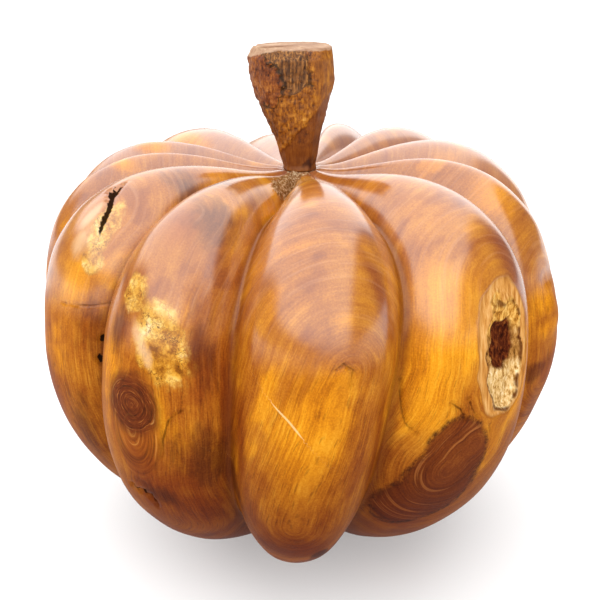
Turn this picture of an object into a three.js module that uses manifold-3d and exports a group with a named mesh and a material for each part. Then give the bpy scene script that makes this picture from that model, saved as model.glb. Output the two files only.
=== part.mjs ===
// A pumpkin ornament carved from one block of root wood, with a separately hewn stem that is pegged
// into its crown. Millimetres and degrees, +Z up. The origin is the middle of the flat spot that it
// rests on, the front is -Y, and an azimuth of 0 is the front and grows towards +X.
import * as THREE from "three";
import { mergeVertices } from "three/addons/utils/BufferGeometryUtils.js";
import Module from "manifold-3d";

// The curve of a lobe's crest, from the base up to the crown
const CREST_RADIUS = 175; // the middle size of lobe, which each lobe's own reach is compared with
const EQUATOR_HEIGHT = 147;
const UPPER_RISE = 126;
const LOWER_DROP = 152; // runs on below the flat spot, which cuts it off
const UPPER_FULLNESS = 2.9; // 2 is an ellipse, and more is squarer
const LOWER_FULLNESS = 2.0;
const CROWN_DIP = 28;
const CROWN_DIP_RADIUS = 80;
const CROWN_MOUND = 4; // a slight mound in the dip, which the stem stands on
const CROWN_MOUND_RADIUS = 18;

// The creases between lobes
const CREASE_DEPTH = 23;
const CREASE_FADE_RADIUS = 45; // nearer the axis than this, creases and lifts fade away
const LOBE_ROUNDNESS = 0.97; // how much of a half circle a lobe's section follows
const VALLEY_SOFTNESS = 0.13; // rounding in the bottom of a crease, as a share of half a lobe
const CREST_SHARE = 0.3; // the middle share of a lobe that doesn't blend into its neighbours

// The lobes, from the front one round towards +X. start is the azimuth of its first crease at the equator,
// reach is how far its crest stands from the axis, lift raises its shoulder, slant turns its first crease
// as that climbs from the equator to the crown, and belly fills it out below the equator.
const LOBES = [
  { start: -15, reach: 187, lift: 0, slant: 2.5, belly: 16 },
  { start: 19, reach: 179, lift: -1, slant: 7, belly: 7 },
  { start: 63, reach: 167, lift: 1, slant: 0, belly: 8 },
  { start: 88, reach: 170, lift: 3, slant: 1, belly: 4 },
  { start: 122, reach: 174, lift: 1, slant: 2, belly: 4 },
  { start: 153, reach: 174, lift: -2, slant: 1, belly: 4 },
  { start: 177, reach: 170, lift: -14, slant: 0, belly: 4 },
  { start: 205, reach: 176, lift: 0, slant: 1, belly: 4 },
  { start: 240, reach: 180, lift: -1, slant: 2, belly: 4 },
  { start: 261, reach: 175, lift: -2, slant: -1, belly: 2 },
  { start: 279, reach: 177, lift: -1, slant: -2, belly: 1 },
  { start: 310, reach: 183, lift: 0, slant: 6, belly: 8 },
];
const COLUMNS_PER_LOBE = 8;
const COLUMN_CROWDING = 1.3; // above 1, columns crowd towards the creases
const ROWS = 28;

// A burl that swells one lobe, and a pocket where the wood has decayed in another
const KNOB = { azimuth: 76, height: 142, swell: 6, halfWidth: 26, halfHeight: 42 };
const POCKET = { azimuth: 42.5, height: 172, radius: 175, halfWidth: 22, halfHeight: 41, depth: 14, lean: 6.5 };

// The stem. A section reaches these distances from the stem's own axis, at a height above the seat.
const SEAT_HEIGHT = 247;
const SEAT_RADIUS = 13;
const STEM_OFFSET = -1; // the stem's axis in X
const STEM_SECTIONS = [
  { height: 0, left: 11.5, right: 10.5, front: 10.5, back: 10.5 },
  { height: 10, left: 14, right: 12, front: 11, back: 11 },
  { height: 20, left: 17, right: 13.5, front: 12.5, back: 12.5 },
  { height: 41, left: 26.5, right: 18.8, front: 15, back: 15 },
  { height: 59, left: 32, right: 22.6, front: 16.5, back: 18 },
  { height: 73, left: 34, right: 21.5, front: 17, back: 20 },
  { height: 80, left: 30, right: 20.5, front: 11, back: 20 },
];
// The facets' edges round a section, as shares of its reach to the right (+) or left and to the back (+) or front
const STEM_CORNERS = [
  [-0.1, -1],
  [0.6, -0.85],
  [1, -0.2],
  [0.85, 0.6],
  [0.3, 1],
  [-0.45, 0.95],
  [-0.92, 0.5],
  [-1, -0.1],
  [-0.72, -0.8],
];

// The peg, half in the body and half in the stem
const DOWEL_RADIUS = 5;
const DOWEL_IN_BODY = 35;
const DOWEL_IN_STEM = 25;
const DOWEL_SIDES = 24;

const GAP = 0.3; // between pieces that touch
const OVERRUN = 20; // how far a cutting shape runs past the surface it cuts

const wasm = await Module();
wasm.setup();

const radians = THREE.MathUtils.degToRad;
const smoothstep = THREE.MathUtils.smoothstep;

// A closed geometry as a solid that can be joined and cut
function solidOf(geometry) {
  const bare = geometry.clone();
  bare.deleteAttribute("normal");
  bare.deleteAttribute("uv");
  const merged = mergeVertices(bare, 1e-3);
  const vertProperties = new Float32Array(merged.attributes.position.array);
  const triVerts = new Uint32Array(merged.index.array);
  return new wasm.Manifold(new wasm.Mesh({ numProp: 3, vertProperties, triVerts }));
}

// A solid back as a geometry
function geometryOf(solid) {
  const { vertProperties, triVerts } = solid.getMesh();
  const geometry = new THREE.BufferGeometry();
  geometry.setAttribute("position", new THREE.BufferAttribute(vertProperties, 3));
  geometry.setIndex(new THREE.BufferAttribute(triVerts, 1));
  geometry.computeVertexNormals();
  return geometry;
}

// A lathe of rows from bottom to top whose points are then moved to place(row, column)
function shapedLathe(rows, columns, place) {
  const profile = Array.from({ length: rows + 1 }, (_, row) => new THREE.Vector2(1, row));
  const geometry = new THREE.LatheGeometry(profile, columns);
  const position = geometry.attributes.position;
  for (let column = 0; column <= columns; column++) {
    for (let row = 0; row <= rows; row++) {
      const point = place(row, column % columns);
      position.setXYZ(column * (rows + 1) + row, point.x, point.y, point.z);
    }
  }
  return geometry;
}

// An upright cylinder between two heights
function uprightCylinder(radius, low, high, x = 0) {
  const geometry = new THREE.CylinderGeometry(radius, radius, high - low, DOWEL_SIDES);
  return geometry.rotateX(Math.PI / 2).translate(x, 0, (low + high) / 2);
}

// A point of the middle lobe's crest, where tilt runs from -90 at the base to 90 at the crown
function crestPoint(tilt) {
  const cosine = Math.max(Math.cos(radians(tilt)), 0);
  const sine = Math.sin(radians(tilt));
  const fullness = tilt >= 0 ? UPPER_FULLNESS : LOWER_FULLNESS;
  const scale = (cosine ** fullness + Math.abs(sine) ** fullness) ** (-1 / fullness);
  const rise = tilt >= 0 ? UPPER_RISE : LOWER_DROP;
  return new THREE.Vector2(CREST_RADIUS * scale * cosine, rise * scale * sine);
}

// The direction straight out of the crest's curve
function crestNormal(tilt) {
  const step = 0.01;
  const along = crestPoint(tilt + step).sub(crestPoint(tilt - step)).normalize();
  return new THREE.Vector2(along.y, -along.x);
}

// How high a lobe's section stands, from 0 in the crease to 1 on the crest, at across from -1 to 1
function lobeSection(across) {
  const toCrease = 1 - Math.abs(across);
  const softened = Math.hypot(toCrease, VALLEY_SOFTNESS) - VALLEY_SOFTNESS;
  const fromCrest = 1 - softened / (Math.hypot(1, VALLEY_SOFTNESS) - VALLEY_SOFTNESS);
  const lowest = Math.sqrt(1 - LOBE_ROUNDNESS ** 2);
  return (Math.sqrt(1 - (LOBE_ROUNDNESS * fromCrest) ** 2) - lowest) / (1 - lowest);
}

// A lobe's own value, blended into its neighbour's towards the crease
function blended(key, index, across) {
  const neighbour = LOBES.at((index + (across < 0 ? -1 : 1)) % LOBES.length);
  const share = smoothstep(Math.abs(across), CREST_SHARE, 1) / 2;
  return THREE.MathUtils.lerp(LOBES[index][key], neighbour[key], share);
}

// The azimuth of a lobe's first crease at this tilt
function creaseAzimuth(index, tilt) {
  const turns = Math.floor(index / LOBES.length);
  const lobe = LOBES[index % LOBES.length];
  return 360 * turns + lobe.start + lobe.slant * Math.sin(radians(tilt));
}

// How far the burl stands out of the surface here
function knobSwell(azimuth, height) {
  const aside = (radians(azimuth - KNOB.azimuth) * CREST_RADIUS) / KNOB.halfWidth;
  const above = (height - KNOB.height) / KNOB.halfHeight;
  return KNOB.swell * Math.exp(-(aside ** 2) - above ** 2);
}

// A point of the body's surface on one lobe
function bodyPoint(index, across, tilt) {
  const crest = crestPoint(tilt);
  const normal = crestNormal(tilt);
  const fade = 1 - Math.exp(-((crest.x / CREASE_FADE_RADIUS) ** 2));
  const sunk = CREASE_DEPTH * fade * (1 - lobeSection(across));
  const raised = Math.max(Math.sin(radians(tilt)), 0) ** 2 * fade;

  let radius = Math.max(crest.x - sunk * normal.x, 0) * (blended("reach", index, across) / CREST_RADIUS);
  let height = EQUATOR_HEIGHT + crest.y - sunk * normal.y + raised * blended("lift", index, across);
  if (tilt > 0) {
    height -= CROWN_DIP * Math.exp(-((radius / CROWN_DIP_RADIUS) ** 2));
    height += CROWN_MOUND * Math.exp(-((radius / CROWN_MOUND_RADIUS) ** 2));
  }
  if (tilt < 0) radius += blended("belly", index, across) * Math.sin(radians(2 * tilt)) ** 2;

  const first = creaseAzimuth(index, tilt);
  const last = creaseAzimuth(index + 1, tilt);
  const azimuth = THREE.MathUtils.lerp(first, last, (across + 1) / 2);
  radius += fade * knobSwell(azimuth, height);
  return new THREE.Vector3(radius * Math.sin(radians(azimuth)), -radius * Math.cos(radians(azimuth)), height);
}

// The whole carved surface, before anything is cut out of it
function carvedBody() {
  const columns = LOBES.length * COLUMNS_PER_LOBE;
  return shapedLathe(ROWS, columns, (row, column) => {
    const even = (2 * (column % COLUMNS_PER_LOBE)) / COLUMNS_PER_LOBE - 1;
    const across = Math.sign(even) * (1 - (1 - Math.abs(even)) ** COLUMN_CROWDING);
    return bodyPoint(Math.floor(column / COLUMNS_PER_LOBE), across, (180 * row) / ROWS - 90);
  });
}

// The hollow of the decayed pocket, which leans with the lobe's side
function pocketHollow() {
  const hollow = new THREE.SphereGeometry(1, 24, 16).scale(POCKET.halfWidth, POCKET.depth, POCKET.halfHeight);
  hollow.rotateX(radians(-POCKET.lean)).translate(0, -POCKET.radius, POCKET.height);
  return hollow.rotateZ(radians(POCKET.azimuth));
}

function pumpkinBody() {
  const below = new THREE.BoxGeometry(4 * CREST_RADIUS, 4 * CREST_RADIUS, 2 * OVERRUN).translate(0, 0, -OVERRUN);
  const seat = uprightCylinder(SEAT_RADIUS, SEAT_HEIGHT, SEAT_HEIGHT + OVERRUN, STEM_OFFSET);
  const socketFloor = SEAT_HEIGHT - DOWEL_IN_BODY - GAP;
  const socket = uprightCylinder(DOWEL_RADIUS + GAP, socketFloor, SEAT_HEIGHT + OVERRUN, STEM_OFFSET);
  return [below, seat, socket, pocketHollow()].reduce(
    (body, cut) => body.subtract(solidOf(cut)),
    solidOf(carvedBody()),
  );
}

// The stem's surface: its sections in order, closed by a point in the middle of each end
function pumpkinStem() {
  const top = STEM_SECTIONS.length - 1;
  const surface = shapedLathe(STEM_SECTIONS.length + 1, STEM_CORNERS.length, (row, column) => {
    const section = STEM_SECTIONS[THREE.MathUtils.clamp(row - 1, 0, top)];
    const isEnd = row === 0 || row === top + 2;
    const [aside, back] = isEnd ? [0, 0] : STEM_CORNERS[column];
    return new THREE.Vector3(
      STEM_OFFSET + aside * (aside < 0 ? section.left : section.right),
      back * (back < 0 ? section.front : section.back),
      SEAT_HEIGHT + GAP + section.height,
    );
  });
  const socketTop = SEAT_HEIGHT + DOWEL_IN_STEM + GAP;
  return solidOf(surface).subtract(
    solidOf(uprightCylinder(DOWEL_RADIUS + GAP, SEAT_HEIGHT - OVERRUN, socketTop, STEM_OFFSET)),
  );
}

function stemDowel() {
  return solidOf(
    uprightCylinder(DOWEL_RADIUS, SEAT_HEIGHT - DOWEL_IN_BODY, SEAT_HEIGHT + DOWEL_IN_STEM, STEM_OFFSET),
  );
}

function addPiece(group, name, solid, color, roughness) {
  const material = new THREE.MeshStandardMaterial({ color, roughness, metalness: 0 });
  const mesh = new THREE.Mesh(geometryOf(solid), material);
  mesh.name = name;
  group.add(mesh);
}

const pumpkin = new THREE.Group();
addPiece(pumpkin, "pumpkin_body", pumpkinBody(), 0xb8691f, 0.35);
addPiece(pumpkin, "pumpkin_stem", pumpkinStem(), 0x8a5420, 0.6);
addPiece(pumpkin, "stem_dowel", stemDowel(), 0xc9a66b, 0.7);

export default pumpkin;
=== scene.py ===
import math

import bpy
import numpy as np
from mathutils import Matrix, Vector, noise


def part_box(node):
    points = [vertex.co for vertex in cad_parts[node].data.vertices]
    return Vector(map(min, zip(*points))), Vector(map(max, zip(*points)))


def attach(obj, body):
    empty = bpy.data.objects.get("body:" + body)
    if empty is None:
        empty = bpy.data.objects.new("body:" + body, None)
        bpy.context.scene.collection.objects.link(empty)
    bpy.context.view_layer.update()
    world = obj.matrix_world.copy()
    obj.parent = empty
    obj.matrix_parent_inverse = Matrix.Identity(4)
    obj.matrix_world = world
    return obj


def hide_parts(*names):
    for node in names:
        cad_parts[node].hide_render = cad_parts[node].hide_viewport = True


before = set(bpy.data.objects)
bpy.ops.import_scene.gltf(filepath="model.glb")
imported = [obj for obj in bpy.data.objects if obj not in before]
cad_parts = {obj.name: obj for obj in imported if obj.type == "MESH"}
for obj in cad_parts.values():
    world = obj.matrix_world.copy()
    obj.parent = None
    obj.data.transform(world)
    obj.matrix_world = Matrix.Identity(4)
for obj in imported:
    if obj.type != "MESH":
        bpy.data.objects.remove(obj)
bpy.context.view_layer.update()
MM = 0.001

# The curve of a lobe's crest, as the CAD body has it
CREST_RADIUS = 175.0
EQUATOR_HEIGHT = 147.0
UPPER_RISE = 126.0
LOWER_DROP = 152.0
UPPER_FULLNESS = 2.9
LOWER_FULLNESS = 2.0
CROWN_DIP = 28.0
CROWN_DIP_RADIUS = 80.0
CROWN_MOUND = 4.0
CROWN_MOUND_RADIUS = 18.0

# The creases between lobes
CREASE_DEPTH = 23.0
CREASE_FADE_RADIUS = 45.0
LOBE_ROUNDNESS = 0.97
VALLEY_SOFTNESS = 0.13
CREST_SHARE = 0.3

# The lobes, from the front one round towards +X: start azimuth, reach, lift, slant of the first crease,
# belly below the equator, and how many columns of the mesh it gets
LOBES = [
    (-15, 187, 0, 2.5, 16, 64),
    (19, 179, -1, 7, 7, 80),
    (63, 167, 1, 0, 8, 44),
    (88, 170, 3, 1, 4, 28),
    (122, 174, 1, 2, 4, 28),
    (153, 174, -2, 1, 4, 28),
    (177, 170, -14, 0, 4, 28),
    (205, 176, 0, 1, 4, 32),
    (240, 180, -1, 2, 4, 28),
    (261, 175, -2, -1, 2, 28),
    (279, 177, -1, -2, 1, 60),
    (310, 183, 0, 6, 8, 64),
]
STARTS, REACHES, LIFTS, SLANTS, BELLIES, COLUMN_COUNTS = [np.array(values) for values in zip(*LOBES)]
COLUMN_CROWDING = 1.15
ROWS = 189
BUSY_TILT = 22.0  # rows crowd round this tilt, where the marks in the wood are
BUSY_SPREAD = 40.0
BUSY_GAIN = 1.6
TILT_STEPS = 2001  # steps in which the rows are measured out
TINY = 1e-9  # keeps a division from failing

STEM_AXIS = -1.0  # in X
KNOB = {"azimuth": 76, "height": 142, "swell": 6, "half_width": 26, "half_height": 42}
POCKET = {"azimuth": 42.5, "height": 172, "half_width": 22, "half_height": 41}
POCKET_BEHIND = 30.0  # anything farther than this behind the pocket's middle is not in it
POCKET_MARGIN = 0.1  # how far outside its edge the wood may still be sunk
POCKET_SQUARENESS = 2.7  # 2 is an oval
POCKET_FLOOR = (2.5, -4.0, 17.0, 36.0)  # how far aside and up its middle is, and half its width and height
POCKET_CAVITY = (4.0, 3.0, 12.0, 16.0)
EDGE_RAGGED, FLOOR_RAGGED, CAVITY_RAGGED = 0.09, 0.2, 0.25
RIM_DEPTH, RIM_SLOPE = 2.0, (-0.03, 0.14)  # a slope is where a depth starts and where it is reached
FLOOR_DEPTH, FLOOR_SLOPE = 4.5, (0.0, 0.22)
CAVITY_DEPTH, CAVITY_SLOPE = 6.0, (-0.05, 0.45)
FLOOR_ROUGHNESS = 0.7
CRACK_DEPTH, CRACK_LIP, CRACK_SLOPE = 2.5, 0.9, 1.2
BUMP_SLOPE = (0.0, 0.8)
KNOB_BUMPS = [  # azimuth, height, half width, half height and how far it stands out
    (72, 163, 16, 18, 2.4),
    (73, 188, 16, 9, -1.6),
]
CHIPS_FROM = (-1.0, -8.0)
CHIPS_TO = (-17.0, -52.0)
CHIPS_HALF_WIDTHS = (9.0, 3.5)
CHIP_HEIGHT, CHIP_SLOPE = 1.3, (0.0, 0.4)
WAVE_HEIGHT = 0.16
WAVE_LENGTHS = (22.0, 60.0)
WAVE_COUNT = 24
WAVE_SEED = 4

# Layers of noise, each with its share, its size in millimetres and a seed
RAGGED = [(1.0, 11.0, 5.0)]
CRUMBLING = [(0.6, 6.0, 1.0), (0.4, 3.0, 2.0)]
TORN = [(1.0, 3.5, 3.0), (0.6, 1.8, 4.0)]

SEAT_RADIUS = 13.0
SOCKET_RADIUS = 5.3
GAP = 0.3  # between the seat and the stem's foot


def smoothstep(value, low, high):
    share = np.clip((value - low) / (high - low), 0.0, 1.0)
    return share * share * (3.0 - 2.0 * share)


def lerp(first, second, share):
    return first + (second - first) * share


# The body's surface

def crest_point(tilt):
    """Radius and height above the equator of the middle lobe's crest, at a tilt from -90 to 90 degrees."""
    cosine = np.maximum(np.cos(np.radians(tilt)), 0.0)
    sine = np.sin(np.radians(tilt))
    fullness = np.where(tilt >= 0, UPPER_FULLNESS, LOWER_FULLNESS)
    scale = (cosine**fullness + np.abs(sine) ** fullness) ** (-1.0 / fullness)
    rise = np.where(tilt >= 0, UPPER_RISE, LOWER_DROP)
    return CREST_RADIUS * scale * cosine, rise * scale * sine


def crest_normal(tilt):
    """The direction straight out of the crest's curve, as shares of out and up."""
    step = 0.01
    low_radius, low_height = crest_point(tilt - step)
    high_radius, high_height = crest_point(tilt + step)
    out = high_height - low_height
    up = low_radius - high_radius
    length = np.hypot(out, up)
    return out / length, up / length


def lobe_section(across):
    """How high a lobe's section stands, from 0 in the crease to 1 on the crest."""
    softened = np.hypot(1 - np.abs(across), VALLEY_SOFTNESS) - VALLEY_SOFTNESS
    from_crest = 1 - softened / (math.hypot(1, VALLEY_SOFTNESS) - VALLEY_SOFTNESS)
    lowest = math.sqrt(1 - LOBE_ROUNDNESS**2)
    return (np.sqrt(1 - (LOBE_ROUNDNESS * from_crest) ** 2) - lowest) / (1 - lowest)


def lobe_columns():
    """The lobe that each column of the mesh is on, and where across it, from -1 to 1."""
    index, across = [], []
    for lobe, count in enumerate(COLUMN_COUNTS):
        even = 2.0 * np.arange(count) / count - 1.0
        across.append(np.sign(even) * (1 - (1 - np.abs(even)) ** COLUMN_CROWDING))
        index.append(np.full(count, lobe))
    return np.concatenate(index), np.concatenate(across)


def row_tilts():
    """Tilts of the rows from the base to the crown, denser where the marks are."""
    fine = np.linspace(-90.0, 90.0, TILT_STEPS)
    density = 1.0 + BUSY_GAIN * np.exp(-(((fine - BUSY_TILT) / BUSY_SPREAD) ** 2))
    reached = np.concatenate([[0.0], np.cumsum(density[1:])])
    return np.interp(np.linspace(0.0, reached[-1], ROWS + 1), reached, fine)[1:-1]


def blended(values, index, across):
    """A lobe's own value, blended into its neighbour's towards the crease."""
    neighbour = (index + np.where(across < 0, -1, 1)) % len(LOBES)
    share = smoothstep(np.abs(across), CREST_SHARE, 1.0) / 2
    return lerp(values[index], values[neighbour], share)


def crease_azimuth(index, sine):
    """The azimuth of a lobe's first crease, which slants as it climbs."""
    lobe = index % len(LOBES)
    return 360.0 * (index // len(LOBES)) + STARTS[lobe] + SLANTS[lobe] * sine


def carved_surface(index, across, tilt):
    """The carved surface as rows and columns of points, in millimetres, with the crease depth at each."""
    tilt = tilt[:, None]
    crest_radius, crest_height = crest_point(tilt)
    out, up = crest_normal(tilt)
    fade = 1 - np.exp(-((crest_radius / CREASE_FADE_RADIUS) ** 2))
    crease = fade * (1 - lobe_section(across))
    sunk = CREASE_DEPTH * crease
    sine = np.sin(np.radians(tilt))
    reach, lift, belly = [blended(values, index, across) for values in (REACHES, LIFTS, BELLIES)]

    radius = np.maximum(crest_radius - sunk * out, 0.0) * reach / CREST_RADIUS
    height = EQUATOR_HEIGHT + crest_height - sunk * up + np.maximum(sine, 0.0) ** 2 * fade * lift
    dip = CROWN_DIP * np.exp(-((radius / CROWN_DIP_RADIUS) ** 2))
    mound = CROWN_MOUND * np.exp(-((radius / CROWN_MOUND_RADIUS) ** 2))
    height = height + np.where(tilt > 0, mound - dip, 0.0)
    radius = radius + np.where(tilt < 0, belly * np.sin(np.radians(2.0 * tilt)) ** 2, 0.0)

    first = crease_azimuth(index, sine)
    last = crease_azimuth(index + 1, sine)
    azimuth = lerp(first, last, (across + 1) / 2)
    aside = np.radians(azimuth - KNOB["azimuth"]) * CREST_RADIUS / KNOB["half_width"]
    above = (height - KNOB["height"]) / KNOB["half_height"]
    radius = radius + fade * KNOB["swell"] * np.exp(-(aside**2) - above**2)
    turn = np.radians(azimuth)
    points = np.stack([radius * np.sin(turn), -radius * np.cos(turn), height], axis=-1)
    return points, crease


def grid_normals(points):
    """Unit normals of a grid of points that closes on itself along its columns."""
    along_row = np.roll(points, -1, axis=1) - np.roll(points, 1, axis=1)
    along_column = np.gradient(points, axis=0)
    normals = np.cross(along_row, along_column)
    return normals / np.maximum(np.linalg.norm(normals, axis=-1, keepdims=True), TINY)


INWARD_PENALTY = 0.03  # keeps a place high on a lobe on the lobe's outer side
BEHIND_SPOT = 60.0  # a point farther than this behind a spot is on another part of the body
OUTSIDE = -3.0  # the least that a mark gets outside its area


class Surface:
    """The body's points and normals, and ways of finding places on it."""

    def __init__(self):
        self.index, self.across = lobe_columns()
        self.points, self.crease = carved_surface(self.index, self.across, row_tilts())
        self.normals = grid_normals(self.points)

    def place(self, azimuth, height):
        """The outermost point at an azimuth and height, with the directions aside, up and out there."""
        x, y, z = np.moveaxis(self.points, -1, 0)
        miss = (np.degrees(np.arctan2(x, -y)) - azimuth + 180.0) % 360.0 - 180.0
        inward = CREST_RADIUS - np.hypot(x, y)
        distance = np.hypot(np.radians(miss) * CREST_RADIUS, z - height) + INWARD_PENALTY * inward
        row, column = np.unravel_index(np.argmin(distance), distance.shape)
        out = self.normals[row, column]
        aside = np.cross([0.0, 0.0, 1.0], out)
        aside /= np.linalg.norm(aside)
        return self.points[row, column], aside, np.cross(out, aside), out

    def spread(self, azimuth, height, turn=0.0):
        """Every point's distance aside, along and out from a place, turned clockwise as seen from outside."""
        origin, aside, up, out = self.place(azimuth, height)
        cosine, sine = math.cos(math.radians(turn)), math.sin(math.radians(turn))
        offset = self.points - origin
        across = offset @ (aside * cosine - up * sine)
        along = offset @ (aside * sine + up * cosine)
        return across, along, offset @ out

    def spot(self, azimuth, height, half_width, half_height, turn=0.0):
        """1 in the middle of an oval, 0 on its edge and less outside it."""
        across, along, out = self.spread(azimuth, height, turn)
        inside = 1 - np.sqrt((across / half_width) ** 2 + (along / half_height) ** 2)
        return np.where(out < -BEHIND_SPOT, OUTSIDE, np.maximum(inside, OUTSIDE))


# Growth rings. Each line is a lobe's number, the two places it runs between, and a head start that keeps a
# small knot from spreading. The rings close round the line.
RING_LINES = [
    (0, (-2, 80), (8, 178), 0), (1, (40, 150), (43, 205), 0), (1, (30, 100), (35, 117), 5),
    (11, (-32, 124), (-32.8, 150), 6), (11, (-33, 60), (-30, 250), 4),
    (10, (-64, 60), (-60, 240), 0), (9, (-90, 60), (-90, 240), 2), (8, (-108, 70), (-108, 220), 0),
    (7, (-137, 90), (-134, 230), 0), (7, (-152, 62), (-146, 80), 8),
    (6, (-166, 60), (-164, 200), 0), (5, (164, 50), (166, 220), 0), (4, (137, 100), (136, 240), 0),
    (3, (104, 60), (106, 190), 0), (3, (97, 76), (100, 84), 8), (2, (71, 120), (71, 190), 0),
]
RING_MERGING = 6.0
RING_SOFTNESS = 12.0  # widens the innermost rings
RING_STOPS = 7  # points of the surface that a ring line is drawn through
NO_RINGS = 1e-30  # keeps the logarithm defined far from every ring line


def from_stretch(points, start, end):
    """Each point's offset and distance from a straight stretch, and how far along the stretch that is."""
    run = end - start
    offset = points - start
    share = np.clip(offset @ run / max(run @ run, TINY), 0.0, 1.0)
    offset = offset - share[..., None] * run
    return offset, np.linalg.norm(offset, axis=-1), share


def ring_field(surface):
    """Millimetres from the nearest ring line on the same lobe, with neighbouring rings flowing together."""
    total = np.zeros(surface.points.shape[:2])
    for lobe, low, high, start in RING_LINES:
        shares = np.linspace(0.0, 1.0, RING_STOPS)
        stops = [surface.place(*lerp(np.array(low), np.array(high), share))[0] for share in shares]
        distances = [from_stretch(surface.points, *ends)[1] for ends in zip(stops[:-1], stops[1:])]
        distance = np.hypot(np.minimum.reduce(distances), RING_SOFTNESS) + start
        total += np.where(surface.index == lobe, np.exp(-distance / RING_MERGING), 0.0)
    return -RING_MERGING * np.log(total + NO_RINGS)


def highest(spots):
    return np.maximum.reduce(list(spots))


# Patches of other wood or finish, and of painted shade, each a place with half its width and height and how
# far it is turned
PATCHES = {
    "burl": [
        (-26.5, 186, 17, 30, -12), (-33, 212, 10, 13, 0), (-54.5, 231, 10, 22, 12), (-53, 214, 9, 9, 0),
        (158, 190, 13, 20, 0), (-112, 200, 14, 22, 15),
    ],
    # dark heartwood, and painted shade: (-15, 100) darkens the crease beside the front lobe
    "heart_and_shade": [
        (68, 127, 34, 10, -12), (-47, 172, 10, 40, 0), (-36, 194, 11, 22, 10), (-20, 118, 17, 24, 0),
        (-15, 100, 10, 46, -6), (-30, 84, 20, 14, 20), (-19, 184, 12, 34, 0), (-23, 249, 19, 30, 0),
        (-50, 250, 16, 28, 0), (-58, 100, 14, 40, 0), (-50, 150, 7, 40, 0), (150, 110, 24, 40, 20),
        (-146, 165, 16, 44, 25), (-120, 90, 22, 36, -30),
    ],
    "lens": [(32, 109, 21, 27, 0), (29.5, 95, 22, 30, 40), (27.5, 82, 23, 36, 49)],
    "gold": [
        (26, 165, 30, 62, 5), (30, 205, 30, 36, 0), (1, 140, 30, 60, 14), (-56, 200, 14, 24, 8),
        (-24, 88, 9, 8, 0), (69.5, 177, 16, 15, 0), (70, 156, 14, 10, 0), (-27, 140, 9, 28, 0),
        (-38, 168, 9, 30, 0), (68.5, 240, 22, 24, 0), (-89.5, 252, 24, 9, 0), (-106, 255, 22, 10, 0),
        (-128, 253, 34, 12, 0), (120, 190, 26, 40, 0), (-100, 150, 22, 50, 0), (178, 150, 22, 50, 0),
    ],
    # reddish wood, and painted shade: (15, 135), (15.5, 214) and (48, 222) darken flanks beside the
    # reflection, (-15.5, 150) a crease
    "red_and_shade": [
        (-12, 125, 9, 60, 0), (15, 135, 10, 70, 0), (-19, 180, 16, 46, 0), (-26, 88, 46, 52, 0),
        (1, 58, 30, 22, 0), (-66, 120, 22, 60, 0), (-28, 246, 30, 34, 0), (-48, 250, 20, 30, 0),
        (72, 128, 22, 30, 0), (-34.5, 190, 10, 16, 0), (-15.5, 150, 8, 66, 0), (48, 222, 18, 44, 0),
        (15.5, 214, 9, 54, 0), (25, 60, 44, 26, 0), (142, 140, 26, 60, 0), (-160, 120, 26, 60, 0),
    ],
    "pale": [(-30.2, 184, 5.5, 18, -26), (-58, 222, 9, 14, 10), (-60, 236, 6, 16, 12)],
    "unpolished": [(-18.5, 190, 16, 46, 0), (-36.5, 190, 14, 34, 0)],
}
KNOTS = [  # azimuth, height, half width, and height as a share of width
    (-32.8, 147, 16.5, 1.02),
    (3.8, 50, 5, 1.2),
    (112, 118, 13, 1.3),
    (-135, 96, 15, 1.2),
]
FLOW_WIDTH, FLOW_LENGTH = 1.35, 2.4  # the reddish wood that hangs below a knot, in sizes of the knot

# Cracks and scratches, each the greatest half width and the places it runs through
CRACKS = [
    (1.9, [(-62.5, 252), (-61, 248.5), (-59.6, 245), (-58, 242), (-56.6, 237.5), (-55.3, 232), (-54.5, 228)]),
    (1.3, [(-64, 248.5), (-62, 247), (-60, 245.5)]),
    (0.5, [(-24.2, 144), (-25.4, 139), (-26.3, 132), (-26.7, 124), (-27, 117)]),
    (0.35, [(-23, 146), (-24.4, 143)]),
    (0.8, [(-37, 85.5), (-34, 84.2), (-32.2, 80.5), (-32, 73)]),
    (0.35, [(-58, 185.5), (-53, 187), (-48.5, 189)]),
    (0.4, [(20.5, 160), (20.5, 151), (20.6, 141), (21.4, 133), (23.2, 128.4)]),
    (0.5, [(29.7, 147), (31.5, 141), (32.8, 135)]),
    (0.45, [(33, 148), (34.2, 141), (35, 136)]),
    (0.35, [(5.6, 181), (7.3, 184), (8.5, 180), (8.7, 171)]),
    (1.6, [(-50, 168), (-50.2, 163)]),
    (1.8, [(-51, 155), (-51, 149)]),
]
SCRATCHES = [
    (0.5, [(-5.2, 159.5), (-2.4, 150), (0.2, 140.5)]),
]
LINE_TAPER = 0.25  # the share of a line at each end over which it narrows
LINE_TIP = 0.15  # how wide its tips are, as a share of its greatest width
FAR_OFF, NO_WIDTH = 60.0, 0.1  # distance and half width away from all lines


def trace(surface, lines):
    """Signed distance from the nearest of some lines on the surface, and that line's half width there."""
    shape = surface.points.shape[:2]
    nearest, across, width = [np.full(shape, value) for value in (FAR_OFF, FAR_OFF, NO_WIDTH)]
    for half_width, places in lines:
        found = [surface.place(*place) for place in places]
        for number in range(len(found) - 1):
            (start, _, _, out), (end, *_) = found[number], found[number + 1]
            side = np.cross(out, end - start)
            offset, distance, share = from_stretch(surface.points, start, end)
            closer = distance < nearest
            whole = (number + share) / (len(found) - 1)
            taper = np.minimum(1.0, np.minimum(whole, 1.0 - whole) / LINE_TAPER + LINE_TIP)
            nearest = np.where(closer, distance, nearest)
            across = np.where(closer, np.where(offset @ side < 0, -distance, distance), across)
            width = np.where(closer, half_width * taper, width)
    return across, width


def knot_flow(surface, azimuth, height, size, _):
    """The oval of reddish wood that hangs below a knot."""
    return surface.spot(azimuth, height - size, FLOW_WIDTH * size, FLOW_LENGTH * size)


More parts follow.
